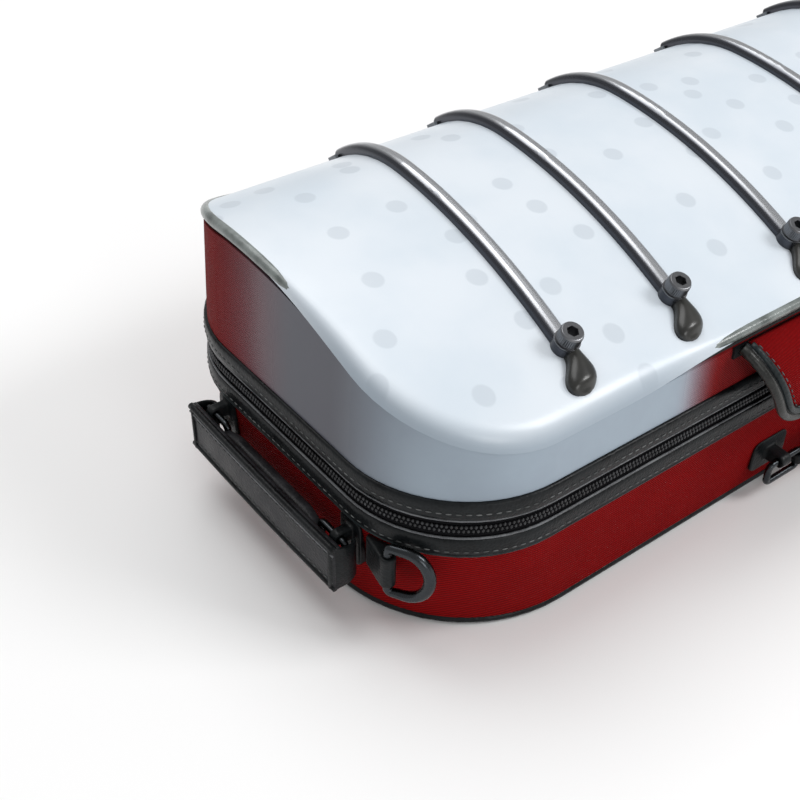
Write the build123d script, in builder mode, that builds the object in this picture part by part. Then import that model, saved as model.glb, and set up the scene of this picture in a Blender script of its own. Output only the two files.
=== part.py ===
"""Oblong violin case: arched hard lid with metal ribs, zipped canvas base, handles and padded interior.

Frame: millimetres, +X along the case, -Y is the front, +Z up. The origin is the middle of the
flat bottom panel, on the surface that the case lies on.
"""

from build123d import *
import os
from math import asin, atan2, cos, degrees, radians, sin, sqrt

os.makedirs("parts", exist_ok=True)

# --- Driving dimensions ---------------------------------------------------------------------
case_length = 800
case_width = 262
corner_r = 72  # plan radius of the four corners at the zip band
floor_inset = 4  # how far the wall leans in from the band down to the floor
floor_corner_r = 88
band_bottom = 65
parting = 83  # the plane where lid and base meet
band_top = 101
crest_z = 177
crest_y = 50  # the arch's highest line lies behind the middle
front_arc_r = 400
rear_arc_r = 115
lid_draft = 3  # degrees that the lid wall leans in

gap = 0.1  # glue line between layers of one body
play = 0.3  # air between pieces that move apart
skin_t = 1.2
wall_t = 6
lining_t = 1.5
panel_t = 3
piping_w = 6
piping_h = 7
foot_piping_h = 4.5
foot_piping_w = 4.7
foot_piping_proud = 0.6

binding_proud = 1.6
binding_h = 12
tape_h = 4
coil_proud = 0.6

half_length = case_length / 2
half_width = case_width / 2
rear_gap_half = 300  # the zip band stops at the hinged stretch of the rear wall

rib_places = (-283, -207, -112, 0, 112, 207, 283)
rib_slant = 5.5  # degrees that each rib is turned in plan, its front end to the left
rib_lift = 0.4  # keeps the turned ribs clear of the arch
rib_w = 10.5
rib_h = 5.5
rib_rear_reach = 69  # from the crest back to a rib's rear end
screw_reach = 148  # from the crest forward to its screw
boss_r = 7
screw_r = 3
head_r = 6.3
head_h = 8

hinge_places = (-220, 0, 220)
hinge_axis_y = half_width + 3.4
knuckle_r = 3.2
knuckle_l = 12
hinge_pin_r = 1.5

shell_in = skin_t + gap
lining_in = shell_in + wall_t + gap
cavity_in = lining_in + lining_t
shell_floor = foot_piping_h + gap
lining_floor = shell_floor + wall_t + gap
cavity_floor = lining_floor + lining_t


# --- Helpers --------------------------------------------------------------------------------
def save(piece, label):
    """Names a finished piece and writes its STEP file."""
    piece.part.label = label
    export_step(piece.part, f"parts/{label}.step")


def plan(z, inset=0.0):
    """The case's rounded plan at height z, moved in by inset."""
    with BuildSketch(Plane.XY.offset(z)) as outline:
        RectangleRounded(case_length - 2 * inset, case_width - 2 * inset, corner_r - inset)
    return outline.sketch


def prism(low, high, inset, mode=Mode.ADD):
    """Upright block with the case's plan."""
    extrude(plan(low, inset), amount=high - low, mode=mode)


def ring(low, high, outer, inner):
    """Band round the case between two insets."""
    prism(low, high, outer)
    prism(low, high, inner, mode=Mode.SUBTRACT)


def cut_rear(low, high):
    """Takes the hinged stretch of the rear wall out of a band."""
    depth = 60
    with Locations((0, half_width, (low + high) / 2)):
        Box(2 * rear_gap_half, depth, high - low, mode=Mode.SUBTRACT)


def base_block(inset, low=shell_floor, mode=Mode.ADD):
    """The base's leaning block, from the floor to the zip band."""
    with BuildSketch(Plane.XY.offset(low)) as floor:
        side = floor_inset + inset
        RectangleRounded(case_length - 2 * side, case_width - 2 * side, floor_corner_r - inset)
    loft([floor.sketch.face(), plan(band_bottom, inset).face()], mode=mode)


def base_room(inset, low, high, mode=Mode.ADD):
    """The base's leaning block and the upright stretch behind the zip band."""
    base_block(inset, low, mode)
    prism(band_bottom, high, inset, mode)


def arch_profile(depth):
    """Side view of everything below the lid's arch, lowered by depth."""
    front_sweep, rear_sweep, sole = 30, -57, 40
    with BuildSketch(Plane.YZ) as side:
        with BuildLine():
            front = CenterArc((crest_y, crest_z - front_arc_r), front_arc_r - depth, 90, front_sweep)
            rear = CenterArc((crest_y, crest_z - rear_arc_r), rear_arc_r - depth, 90, rear_sweep)
            Polyline(front @ 1, ((front @ 1).X, sole), ((rear @ 1).X, sole), rear @ 1)
        make_face()
    return side.sketch


def under_arch(depth, mode):
    """Keeps, or takes away, what lies below the lowered arch."""
    extrude(arch_profile(depth), amount=half_length + 10, both=True, mode=mode)


def lid_block(inset, depth, low=parting + play / 2):
    """The lid's block: upright at the zip band, then leaning in up to the arch."""
    rise = crest_z - band_top + 5
    with BuildPart(mode=Mode.PRIVATE) as block:
        prism(low, band_top, inset)
        extrude(plan(band_top, inset), amount=rise, taper=lid_draft)
        under_arch(depth, Mode.INTERSECT)
    return block.part


def arch_height(y):
    """Height of the arch at y."""
    radius = front_arc_r if y < crest_y else rear_arc_r
    return crest_z - radius + sqrt(radius**2 - (y - crest_y) ** 2)


def arch_plane(x, y, lift=0.0):
    """Plane on the arch with its normal pointing up and its y axis to the rear."""
    radius = front_arc_r if y < crest_y else rear_arc_r
    slope = asin((y - crest_y) / radius)
    normal = Vector(0, sin(slope), cos(slope))
    return Plane(Vector(x, y, arch_height(y)) + normal * lift, x_dir=(1, 0, 0), z_dir=normal)


def rib_spot(x, reach):
    """Plan position on the rib at x, reach behind the crest, or in front of it if negative."""
    turn = radians(rib_slant)
    return x + reach * sin(turn), crest_y + reach * cos(turn)


def wall_y(z):
    """Distance of the base's long walls from the middle plane at height z."""
    share = (z - shell_floor) / (band_bottom - shell_floor)
    return half_width - floor_inset * (1 - min(share, 1))


# --- Base: floor, shell, cover and lining ---------------------------------------------------
def foot_plan(inset, mode=Mode.ADD):
    """The rounded plan of the case's foot, moved in by inset."""
    side = floor_inset + inset
    RectangleRounded(case_length - 2 * side, case_width - 2 * side, floor_corner_r - inset, mode=mode)


piping_in = foot_piping_w - foot_piping_proud
with BuildPart() as bottom_panel:
    with BuildSketch():
        foot_plan(piping_in + gap)
    extrude(amount=foot_piping_h)
save(bottom_panel, "bottom_panel")

with BuildPart() as base_piping:
    with BuildSketch():
        foot_plan(-foot_piping_proud)
        foot_plan(piping_in, Mode.SUBTRACT)
    extrude(amount=foot_piping_h)
    fillet(base_piping.faces().sort_by(SortBy.AREA)[-1].outer_wire().edges(), 1.5)
save(base_piping, "base_piping")

with BuildPart() as base_shell:
    base_room(shell_in, shell_floor, parting - play / 2)
    base_room(shell_in + wall_t, shell_floor + wall_t, parting, Mode.SUBTRACT)
save(base_shell, "base_shell")

with BuildPart() as base_cover:
    base_block(0)
    base_block(skin_t, mode=Mode.SUBTRACT)
    with BuildPart(mode=Mode.PRIVATE) as rear_cover:
        ring(band_bottom, parting - play / 2, 0, skin_t)
        with Locations((0, half_width, parting - 10)):
            Box(2 * rear_gap_half - play, 60, 60, mode=Mode.INTERSECT)
    add(rear_cover.part)
save(base_cover, "base_cover")

with BuildPart() as base_lining:
    base_room(lining_in, lining_floor, parting - 1)
    base_room(cavity_in, cavity_floor, parting, Mode.SUBTRACT)
save(base_lining, "base_lining")

# --- Zip band -------------------------------------------------------------------------------
lower_tape_low = band_bottom + binding_h
lower_coil_low = lower_tape_low + tape_h
upper_coil_high = 2 * parting - lower_coil_low
upper_tape_high = 2 * parting - lower_tape_low
band_rows = (
    ("lower_binding", band_bottom + gap, lower_tape_low - gap, -binding_proud),
    ("lower_zip_tape", lower_tape_low, lower_coil_low - gap, 0.2),
    ("lower_zip_coil", lower_coil_low, parting - play / 2, -coil_proud),
    ("upper_zip_coil", parting + play / 2, upper_coil_high, -coil_proud),
    ("upper_zip_tape", upper_coil_high + gap, upper_tape_high, 0.2),
    ("upper_binding", upper_tape_high + gap, band_top - gap, -binding_proud),
)
for row_name, row_low, row_high, row_outer in band_rows:
    with BuildPart() as band_row:
        ring(row_low, row_high, row_outer, skin_t)
        cut_rear(row_low, row_high)
        if row_outer == -binding_proud:
            faces = band_row.faces().filter_by(Axis.Z)
            fillet(faces.sort_by(Axis.Z)[-1].edges() + faces.sort_by(Axis.Z)[0].edges(), 0.5)
    save(band_row, row_name)

# --- Lid: shell, side cover, top panel, piping and lining -----------------------------------
screw_spots = [rib_spot(x, -screw_reach) for x in rib_places]
shank_l = 9.5
nut_depth = 9.8
dome_t = 7
dome_depth = panel_t + dome_t


def screw_holes():
    """Clearance holes for the rib screws."""
    for x, y in screw_spots:
        with Locations(arch_plane(x, y)):
            Cylinder(screw_r + gap, 2 * nut_depth, mode=Mode.SUBTRACT)


with BuildPart() as lid_shell:
    add(lid_block(piping_w + gap, panel_t + gap))
    add(lid_block(shell_in, piping_h + gap))
    add(lid_block(shell_in + wall_t, -piping_h, parting - play), mode=Mode.SUBTRACT)
save(lid_shell, "lid_shell")

with BuildPart() as lid_dome:
    add(lid_block(shell_in + wall_t + gap, panel_t + gap))
    under_arch(dome_depth, Mode.SUBTRACT)
    screw_holes()
save(lid_dome, "lid_dome")

with BuildPart() as lid_cover:
    add(lid_block(0, piping_h + gap))
    add(lid_block(skin_t, -5), mode=Mode.SUBTRACT)
    ring_low = parting - 5
    with BuildPart(mode=Mode.PRIVATE) as band_room:
        prism(ring_low, band_top, -10)
        cut_rear(ring_low, band_top)
    add(band_room.part, mode=Mode.SUBTRACT)
save(lid_cover, "lid_cover")

with BuildPart() as lid_top_panel:
    add(lid_block(piping_w + gap, 0))
    under_arch(panel_t, Mode.SUBTRACT)
    screw_holes()
save(lid_top_panel, "lid_top_panel")

with BuildPart() as lid_piping:
    add(lid_block(0, 0))
    add(lid_block(piping_w, -5), mode=Mode.SUBTRACT)
    under_arch(piping_h, Mode.SUBTRACT)
save(lid_piping, "lid_piping")

with BuildPart() as lid_lining:
    add(lid_block(lining_in, dome_depth + gap, parting + 1))
    add(lid_block(cavity_in, dome_depth + gap + lining_t, parting), mode=Mode.SUBTRACT)
save(lid_lining, "lid_lining")

# --- Ribs across the lid --------------------------------------------------------------------
pad_neck_r, pad_head_r, pad_l, pad_h = 4.2, 9.5, 17, 6
pad_lean = 5
bracket_w, bracket_l, bracket_h = 16, 9, 2.6
rib_edge_r = 4.4

with BuildPart() as rib_bar:
    with BuildSketch(Plane.XZ) as rib_section:
        with Locations((0, crest_z + rib_lift + rib_h / 2)):
            Rectangle(rib_w, rib_h)
        fillet(rib_section.vertices().group_by(Axis.Y)[-1], rib_edge_r)
    for radius, reach, way in ((front_arc_r, screw_reach, 1), (rear_arc_r, rib_rear_reach, -1)):
        spine = Axis((0, 0, crest_z - radius), (way, 0, 0))
        revolve(rib_section.sketch, axis=spine, revolution_arc=degrees(asin(reach / radius)))

for number, (x, spot) in enumerate(zip(rib_places, screw_spots), start=1):
    with BuildPart() as rib:
        with Locations(Location((x, crest_y, 0), (0, 0, -rib_slant))):
            add(rib_bar.part)
        with Locations(arch_plane(*spot, rib_lift)):
            Cylinder(boss_r, rib_h, align=(Align.CENTER, Align.CENTER, Align.MIN))
            Cylinder(screw_r + gap, 4 * rib_h, mode=Mode.SUBTRACT)
    save(rib, f"rib_{number}")

with BuildPart() as rib_pads:
    for x, y in screw_spots:
        pad_plane = arch_plane(x, y - boss_r - pad_l / 2, rib_lift + gap)
        with BuildSketch(pad_plane):
            with Locations((0, pad_l / 2)):
                Circle(pad_neck_r)
            with Locations((-pad_lean, -pad_l / 4)):
                Circle(pad_head_r)
            make_hull()
        extrude(amount=pad_h)
    upward = Axis((0, 0, 0), pad_plane.z_dir)
    fillet(rib_pads.faces().filter_by(upward).group_by(upward)[-1].edges(), 2.5)
    for x, y in screw_spots:
        with Locations(arch_plane(x, y)):
            Cylinder(boss_r + gap, 40, mode=Mode.SUBTRACT)
save(rib_pads, "rib_pads")

head_lift = rib_lift + rib_h + gap
hex_r, hex_depth = 3.3, 4.5
with BuildPart() as rib_screws:
    for x, y in screw_spots:
        with Locations(arch_plane(x, y, head_lift)):
            Cylinder(head_r, head_h, align=(Align.CENTER, Align.CENTER, Align.MIN))
        with BuildSketch(arch_plane(x, y, head_lift + head_h)):
            RegularPolygon(hex_r, 6)
        extrude(amount=-hex_depth, mode=Mode.SUBTRACT)
        with Locations(arch_plane(x, y, head_lift)):
            Cylinder(screw_r, shank_l, align=(Align.CENTER, Align.CENTER, Align.MAX))
save(rib_screws, "rib_screws")

with BuildPart() as rib_brackets:
    for rib_x in rib_places:
        x, y = rib_spot(rib_x, rib_rear_reach)
        with Locations(arch_plane(x, y, gap)):
            Box(bracket_w, bracket_l, bracket_h, align=(Align.CENTER, Align.CENTER, Align.MIN))
            with Locations((0, -bracket_l / 2, 0)):
                Box(rib_w + 2, bracket_l + 4, 30, mode=Mode.SUBTRACT)
    under_arch(-gap, Mode.SUBTRACT)
save(rib_brackets, "rib_brackets")

# --- Rear hinges and feet -------------------------------------------------------------------
leaf_t = 1.5
leaf_h = 16
knuckle_gap = 0.3


def hinge_leaves(way, knuckles, others):
    """Three leaves with their knuckles: way is 1 for the lid's leaves and -1 for the base's."""
    width = (knuckles + others) * knuckle_l
    first = 0 if others > knuckles else knuckle_l

    def disc(radius, start, length, mode):
        with BuildSketch(Plane.YZ.offset(start)) as face:
            with Locations((hinge_axis_y, parting)):
                Circle(radius)
        extrude(face.sketch, amount=length, mode=mode)

    for x in hinge_places:
        left = x - width / 2
        with BuildSketch(Plane.YZ.offset(left)) as leaf:
            with Locations((half_width + gap + leaf_t / 2, parting + way * leaf_h / 2)):
                Rectangle(leaf_t, leaf_h)
        extrude(leaf.sketch, amount=width)
        disc(knuckle_r, left, width, Mode.ADD)
        for start in range(first, width, 2 * knuckle_l):
            room = knuckle_l + knuckle_gap
            disc(knuckle_r + 2 * knuckle_gap, left + start - knuckle_gap / 2, room, Mode.SUBTRACT)
        disc(hinge_pin_r + 0.05, left - 1, width + 2, Mode.SUBTRACT)


with BuildPart() as base_hinge_leaves:
    hinge_leaves(-1, 3, 2)
save(base_hinge_leaves, "base_hinge_leaves")

with BuildPart() as lid_hinge_leaves:
    hinge_leaves(1, 2, 3)
save(lid_hinge_leaves, "lid_hinge_leaves")

with BuildPart() as hinge_pins:
    with Locations([(x, hinge_axis_y, parting) for x in hinge_places]):
        Cylinder(hinge_pin_r, 5 * knuckle_l, rotation=(0, 90, 0))
save(hinge_pins, "hinge_pins")

foot_r = 9
foot_reach = half_width + 8
for foot_node, foot_z in (("base_rear_feet", 34), ("lid_rear_feet", 120)):
    with BuildPart() as feet:
        with BuildSketch(Plane.XZ.offset(-foot_reach)):
            with Locations((-270, foot_z), (270, foot_z)):
                Circle(foot_r)
        extrude(amount=20)
        fillet(feet.edges().group_by(Axis.Y)[-1], 2)
        base_block(-gap, mode=Mode.SUBTRACT)
        add(lid_block(-gap, -20), mode=Mode.SUBTRACT)
    save(feet, foot_node)

# --- Zip sliders and pulls ------------------------------------------------------------------
slider_plate_y = -half_width - binding_proud - 0.5
slider_w, slider_t, slider_h = 17, 3, 11
pull_axis_y = slider_plate_y - slider_t - 2.4
pull_axis_z = parting + 3
pull_bar_r = 1.1
for slider_side, slider_x in (("left", 232), ("right", 262)):
    with BuildPart() as slider:
        with BuildSketch(Plane.XZ.offset(-slider_plate_y)):
            with Locations((slider_x, parting)):
                RectangleRounded(slider_w, slider_h, 4)
        extrude(amount=slider_t)
        for ear_x in (slider_x - 4.7, slider_x + 4.7):
            with BuildSketch(Plane.YZ.offset(ear_x - 0.9)):
                with Locations((pull_axis_y, pull_axis_z)):
                    Circle(1.9)
                with Locations((pull_axis_y + 1.6, pull_axis_z)):
                    Rectangle(3.2, 3.8)
            extrude(amount=1.8)
        with Locations((slider_x, pull_axis_y, pull_axis_z)):
            Cylinder(pull_bar_r, 9, rotation=(0, 90, 0))
    save(slider, f"slider_{slider_side}")

    with BuildPart() as pull:
        pull_t, pull_w, pull_l = 2.0, 9, 30
        with BuildSketch(Plane.YZ.offset(slider_x - 3.3)):
            with Locations((pull_axis_y, pull_axis_z)):
                Circle(1.9)
        extrude(amount=6.6)
        with BuildSketch(Plane.XZ.offset(-pull_axis_y - pull_t / 2)):
            with Locations((slider_x, pull_axis_z - 5)):
                Rectangle(6.6, 10)
            with Locations((slider_x, pull_axis_z - 6 - pull_l / 2)):
                RectangleRounded(pull_w, pull_l, 3.5)
            with Locations((slider_x, pull_axis_z - 7)):
                SlotOverall(4, 2.4, mode=Mode.SUBTRACT)
        extrude(amount=pull_t)
        with Locations((slider_x, pull_axis_y, pull_axis_z)):
            Cylinder(pull_bar_r + 0.06, 12, rotation=(0, 90, 0), mode=Mode.SUBTRACT)
    save(pull, f"pull_{slider_side}")

# --- Front flap over the zip ----------------------------------------------------------------
flap_top_half, flap_foot_half = 203, 172
flap_foot_z, flap_top_z = 71, 128
flap_corner_r = 20
flap_trim = 14


def flap_profile(thickness):
    """Side view of the flap's bulging strip, thickness measured in from its outer face."""
    with BuildSketch(Plane.YZ) as side:
        with BuildLine():
            over = ThreePointArc((-133, flap_top_z), (-146.5, 115), (-151.5, 97))
            down = ThreePointArc((-151.5, 97), (-151.2, 84), (-148.5, flap_foot_z))
            back = ThreePointArc(
                (-148.5 + thickness, flap_foot_z), (-151.2 + thickness, 84), (-151.5 + thickness, 97)
            )
            home = ThreePointArc(
                (-151.5 + thickness, 97), (-146 + thickness * 0.75, 113), (-133, flap_top_z - thickness)
            )
            Line(down @ 1, back @ 0)
            Line(home @ 1, over @ 0)
        make_face()
    return side.sketch


def flap_front(trim):
    """Front view of the flap: a trapezium with two rounded lower corners, less its trim."""
    top = flap_top_z + 10
    with BuildSketch(Plane.XZ) as front:
        with BuildLine():
            Polyline(
                (-flap_top_half - 5 + trim, top),
                (-flap_foot_half + trim, flap_foot_z + trim),
                (flap_foot_half - trim, flap_foot_z + trim),
                (flap_top_half + 5 - trim, top),
                close=True,
            )
        make_face()
        fillet(front.vertices().sort_by(Axis.Y)[:2], max(flap_corner_r - trim, 6))
    return front.sketch


with BuildPart() as flap_panel:
    extrude(flap_profile(3.2), amount=flap_top_half + 10, both=True)
    extrude(flap_front(flap_trim), amount=200, mode=Mode.INTERSECT)
save(flap_panel, "flap_panel")

with BuildPart() as flap_binding:
    extrude(flap_profile(4), amount=flap_top_half + 10, both=True)
    extrude(flap_front(0), amount=200, mode=Mode.INTERSECT)
    extrude(flap_front(flap_trim - gap), amount=200, mode=Mode.SUBTRACT)
save(flap_binding, "flap_binding")

with BuildPart() as flap_hem:
    with BuildSketch(Plane.XZ.offset(half_width - 3)):
        with Locations((0, flap_top_z - 4)):
            Rectangle(2 * flap_top_half, 7)
    extrude(amount=3.4)
    add(lid_block(-gap, -20), mode=Mode.SUBTRACT)
save(flap_hem, "flap_hem")


# --- Carrying handle on the front wall ------------------------------------------------------
handle_axis_y = -140.0
handle_axis_z = 25.5
link_wire_r = 2.0
lug_x = 143
link_w, link_h = 32, 17
link_corner_r = 5
link_eye_h = link_h - 2 * link_corner_r - 0.2  # the eye stays on the straight stretch of wire


def wire_link(plane, center, width):
    """Closed rectangular link of round wire."""
    wire = 2 * link_wire_r
    with BuildSketch(plane.offset(-link_wire_r)) as link:
        with Locations(center):
            RectangleRounded(width, link_h, link_corner_r)
            RectangleRounded(width - 2 * wire, link_h - 2 * wire, 1, mode=Mode.SUBTRACT)
    extrude(link.sketch, amount=wire)


with BuildPart() as handle_links:
    for side in (-1, 1):
        front_plane = Plane.XZ.offset(-handle_axis_y)
        wire_link(front_plane, (side * (lug_x - 3), handle_axis_z + link_wire_r - link_h / 2), link_w)
    fillet(handle_links.edges().filter_by(lambda e: abs(e.tangent_at(0.5).Y) < 0.5), 1.85)
save(handle_links, "handle_links")

with BuildPart() as handle_lugs:
    for side in (-1, 1):
        with BuildSketch(Plane.YZ.offset(side * lug_x - 4)):
            with Locations((handle_axis_y, handle_axis_z)):
                Circle(4.4)
            with Locations((handle_axis_y + 7, handle_axis_z)):
                Rectangle(14, 8.8)
        extrude(amount=8)
        with BuildSketch(Plane.XZ.offset(110)):
            with Locations((side * lug_x, handle_axis_z)):
                RectangleRounded(30, 22, 5)
        extrude(amount=wall_y(handle_axis_z) + 2 - 110)
    base_block(-gap, mode=Mode.SUBTRACT)
    with Locations((0, handle_axis_y, handle_axis_z)):
        Cylinder(link_wire_r + 0.08, 400, rotation=(0, 90, 0), mode=Mode.SUBTRACT)
save(handle_lugs, "handle_lugs")

grip_half, grip_h, grip_t = 118, 17, 12
grip_z = handle_axis_z + link_wire_r - link_h / 2
link_inner_x = lug_x - 3 - link_w / 2 + link_wire_r
with BuildPart() as handle_grip:
    with BuildSketch(Plane.YZ.offset(-grip_half)) as grip_section:
        with Locations((handle_axis_y, grip_z)):
            RectangleRounded(grip_t, grip_h, 5)
    extrude(amount=2 * grip_half)
    for side in (-1, 1):
        with BuildSketch(Plane.XY.offset(grip_z - link_eye_h / 2)):
            with Locations((side * link_inner_x, handle_axis_y)):
                Circle(4.6)
            with Locations((side * (link_inner_x - 4.5), handle_axis_y)):
                Rectangle(9, 8)
        extrude(amount=link_eye_h)
        with BuildSketch(Plane.XY.offset(0)):
            with Locations((side * link_inner_x, handle_axis_y)):
                Circle(link_wire_r + 0.2)
        extrude(amount=60, mode=Mode.SUBTRACT)
save(handle_grip, "handle_grip")

# --- Handle on the left end -----------------------------------------------------------------
end_axis_x = -half_length - 9.0
end_axis_z = 56.0
end_lug_y = 62
end_link_w = 26
end_links_z = end_axis_z + link_wire_r - link_h / 2

with BuildPart() as end_handle_links:
    for side in (-1, 1):
        wire_link(Plane.YZ.offset(end_axis_x), (side * (end_lug_y - 4), end_links_z), end_link_w)
    fillet(end_handle_links.edges().filter_by(lambda e: abs(e.tangent_at(0.5).X) < 0.5), 1.85)
save(end_handle_links, "end_handle_links")

with BuildPart() as end_handle_lugs:
    for side in (-1, 1):
        with BuildSketch(Plane.XZ.offset(-side * end_lug_y - 3)):
            with Locations((end_axis_x, end_axis_z)):
                Circle(4.2)
            with Locations((end_axis_x + 9, end_axis_z)):
                Rectangle(18, 8.4)
        extrude(amount=6)
        lug_plane = Plane.YZ.offset(-half_length - 1)
        with BuildSketch(lug_plane):
            with Locations((side * (end_lug_y - 1), end_axis_z - 7)):
                RectangleRounded(18, 30, 4)
        extrude(amount=20)
    base_block(-gap, mode=Mode.SUBTRACT)
    prism(band_bottom, parting, -gap, mode=Mode.SUBTRACT)
    with Locations((end_axis_x, 0, end_axis_z)):
        Cylinder(link_wire_r + 0.08, 300, rotation=(90, 0, 0), mode=Mode.SUBTRACT)
save(end_handle_lugs, "end_handle_lugs")

end_strap_half, end_strap_t = 72, 5.5
end_core_half, end_core_t = 42, 7
end_grip_h = 34
end_strap_x = end_axis_x - 4.5  # the strap's inner face, just outside the lugs' barrels
end_link_inner = end_lug_y - 4 - end_link_w / 2 + link_wire_r
end_grip_z = 45
with BuildPart() as end_handle_grip:
    for half, thickness, face_x in (
        (end_strap_half, end_strap_t, end_strap_x - end_strap_t / 2),
        (end_core_half, end_core_t, end_strap_x + end_core_t / 2),
    ):
        with BuildSketch(Plane.XZ.offset(-half)):
            with Locations((face_x, end_grip_z)):
                Rectangle(thickness, end_grip_h)
        extrude(amount=2 * half)
    fillet(end_handle_grip.edges().filter_by(Axis.Y).group_by(Axis.X)[0], 2.5)
    fillet(end_handle_grip.edges().filter_by(Axis.Y).group_by(Axis.X)[-1], 2.5)
    for side in (-1, 1):
        with BuildSketch(Plane.XY.offset(end_links_z - link_eye_h / 2)):
            with Locations((end_axis_x, side * end_link_inner)):
                Circle(4.3)
            with Locations((end_axis_x, side * (end_link_inner - 4))):
                Rectangle(8, 8)
        extrude(amount=link_eye_h)
        with BuildSketch(Plane.XY.offset(end_links_z - 20)):
            with Locations((end_axis_x, side * end_link_inner)):
                Circle(link_wire_r + 0.2)
        extrude(amount=40, mode=Mode.SUBTRACT)
save(end_handle_grip, "end_handle_grip")

# --- Strap rings on the two front corners ---------------------------------------------------
ring_angle = 25  # where the ring's bar stands round the corner, from the end wall
ring_stand = 7.5
ring_bar_r = 1.8
tab_clear_r = 5.2
ring_w, ring_h, ring_t = 29, 36, 3.4
ring_z = 52.0
tab_h = 20
corner_x, corner_y = half_length - corner_r, -(half_width - corner_r)
bar_reach = corner_r + ring_stand
bar_x = corner_x + bar_reach * cos(radians(ring_angle))
bar_y = corner_y - bar_reach * sin(radians(ring_angle))
tip_angle = 47
tip_x = corner_x + (bar_reach + 2) * cos(radians(tip_angle))
tip_y = corner_y - (bar_reach + 2) * sin(radians(tip_angle))
lie = degrees(atan2(tip_y - bar_y, tip_x - bar_x))

for ring_side, way in (("left", -1), ("right", 1)):
    with BuildPart() as strap_ring:
        ring_dir = Vector(way * cos(radians(lie)), sin(radians(lie)), 0)
        ring_plane = Plane(
            (way * bar_x, bar_y, ring_z), x_dir=ring_dir, z_dir=ring_dir.cross(Vector(0, 0, 1))
        )
        with BuildSketch(ring_plane.offset(-ring_t / 2)):
            with Locations((ring_w / 2 - 2, 0)):
                SlotOverall(ring_h, ring_w, rotation=90)
                with Locations((-ring_w / 2, 0)):
                    Rectangle(ring_w, ring_h)
            with Locations((-ring_w / 2 - 2.2, 0)):
                Rectangle(ring_w, 2 * ring_h, mode=Mode.SUBTRACT)
            with Locations((ring_w / 2 - 3.5, 0)):
                SlotOverall(ring_h - 13, ring_w - 13, rotation=90, mode=Mode.SUBTRACT)
        extrude(amount=ring_t)
        with Locations((way * bar_x, bar_y, ring_z)):
            Cylinder(tab_clear_r, tab_h + 2 * play, mode=Mode.SUBTRACT)
            Cylinder(ring_bar_r, tab_h + 8)
    save(strap_ring, f"strap_ring_{ring_side}")

    with BuildPart() as strap_tab:
        with BuildSketch(Plane.XY.offset(ring_z - tab_h / 2)):
            with Locations((way * bar_x, bar_y)):
                Circle(4.4)
            with BuildLine():
                start = radians(12)
                Polyline(
                    (way * bar_x, bar_y - 3),
                    (way * (bar_x + 4), bar_y + 2),
                    (
                        way * (corner_x + (corner_r + 2.4) * cos(start)),
                        corner_y - (corner_r + 2.4) * sin(start),
                    ),
                    (
                        way * (corner_x + (corner_r - 8) * cos(start)),
                        corner_y - (corner_r - 8) * sin(start),
                    ),
                    (way * (bar_x - 8), bar_y + 4),
                    close=True,
                )
            make_face()
        extrude(amount=tab_h)
        base_block(-gap, mode=Mode.SUBTRACT)
        with Locations((way * bar_x, bar_y, ring_z)):
            Cylinder(ring_bar_r + 0.08, 60, mode=Mode.SUBTRACT)
    save(strap_tab, f"strap_tab_{ring_side}")

# --- Interior: violin well, neck rest and accessory box -------------------------------------
well_top = 62
well_floor = 20
well_right = 250
body_x, waist_x, shoulder_x = -262, -160, -72
with BuildPart() as well_block:
    base_room(cavity_in + gap, cavity_floor + gap, parting)
    split(bisect_by=Plane.XY.offset(well_top), keep=Keep.BOTTOM)
    split(bisect_by=Plane.YZ.offset(well_right), keep=Keep.BOTTOM)
    with BuildSketch(Plane.XY.offset(well_floor)) as violin:
        with Locations((body_x, 0)):
            Circle(106)
        with Locations((shoulder_x, 0)):
            Circle(86)
        with Locations((waist_x, 0)):
            Rectangle(140, 124)
        with Locations((110, 0)):
            Rectangle(240, 58)
        with Locations((200, 0)):
            Rectangle(64, 74)
    extrude(amount=well_top, mode=Mode.SUBTRACT)
save(well_block, "well_block")

with BuildPart() as well_cushions:
    for x, length, width in ((body_x - 20, 90, 110), (shoulder_x, 50, 100)):
        with Locations((x, 0, well_floor + gap)):
            Box(length, width, 10, align=(Align.CENTER, Align.CENTER, Align.MIN))
    fillet(well_cushions.edges().filter_by(Axis.Z), 12)
save(well_cushions, "well_cushions")

with BuildPart() as neck_cradle:
    with BuildSketch(Plane.YZ.offset(90)):
        with Locations((0, well_floor + gap + 14)):
            Rectangle(57, 28)
        with Locations((0, well_floor + gap + 32)):
            Circle(17, mode=Mode.SUBTRACT)
    extrude(amount=42)
save(neck_cradle, "neck_cradle")

with BuildPart() as neck_strap:
    with Locations((66, 0, well_top + gap)):
        Box(26, 130, 1.6, align=(Align.CENTER, Align.CENTER, Align.MIN))
save(neck_strap, "neck_strap")

box_left = well_right + 1
box_top = 70
box_wall = 3
lid_right = 330
with BuildPart() as accessory_box:
    base_room(cavity_in + gap, cavity_floor + gap, parting)
    split(bisect_by=Plane.XY.offset(box_top), keep=Keep.BOTTOM)
    split(bisect_by=Plane.YZ.offset(box_left), keep=Keep.TOP)
    with BuildPart(mode=Mode.PRIVATE) as box_room:
        base_room(cavity_in + gap + box_wall, cavity_floor + box_wall, parting)
        split(bisect_by=Plane.YZ.offset(box_left + box_wall), keep=Keep.TOP)
        with Locations((lid_right, 0, box_top / 2)):
            Box(box_wall, case_width, 2 * box_top, mode=Mode.SUBTRACT)
    add(box_room.part, mode=Mode.SUBTRACT)
save(accessory_box, "accessory_box")

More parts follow.
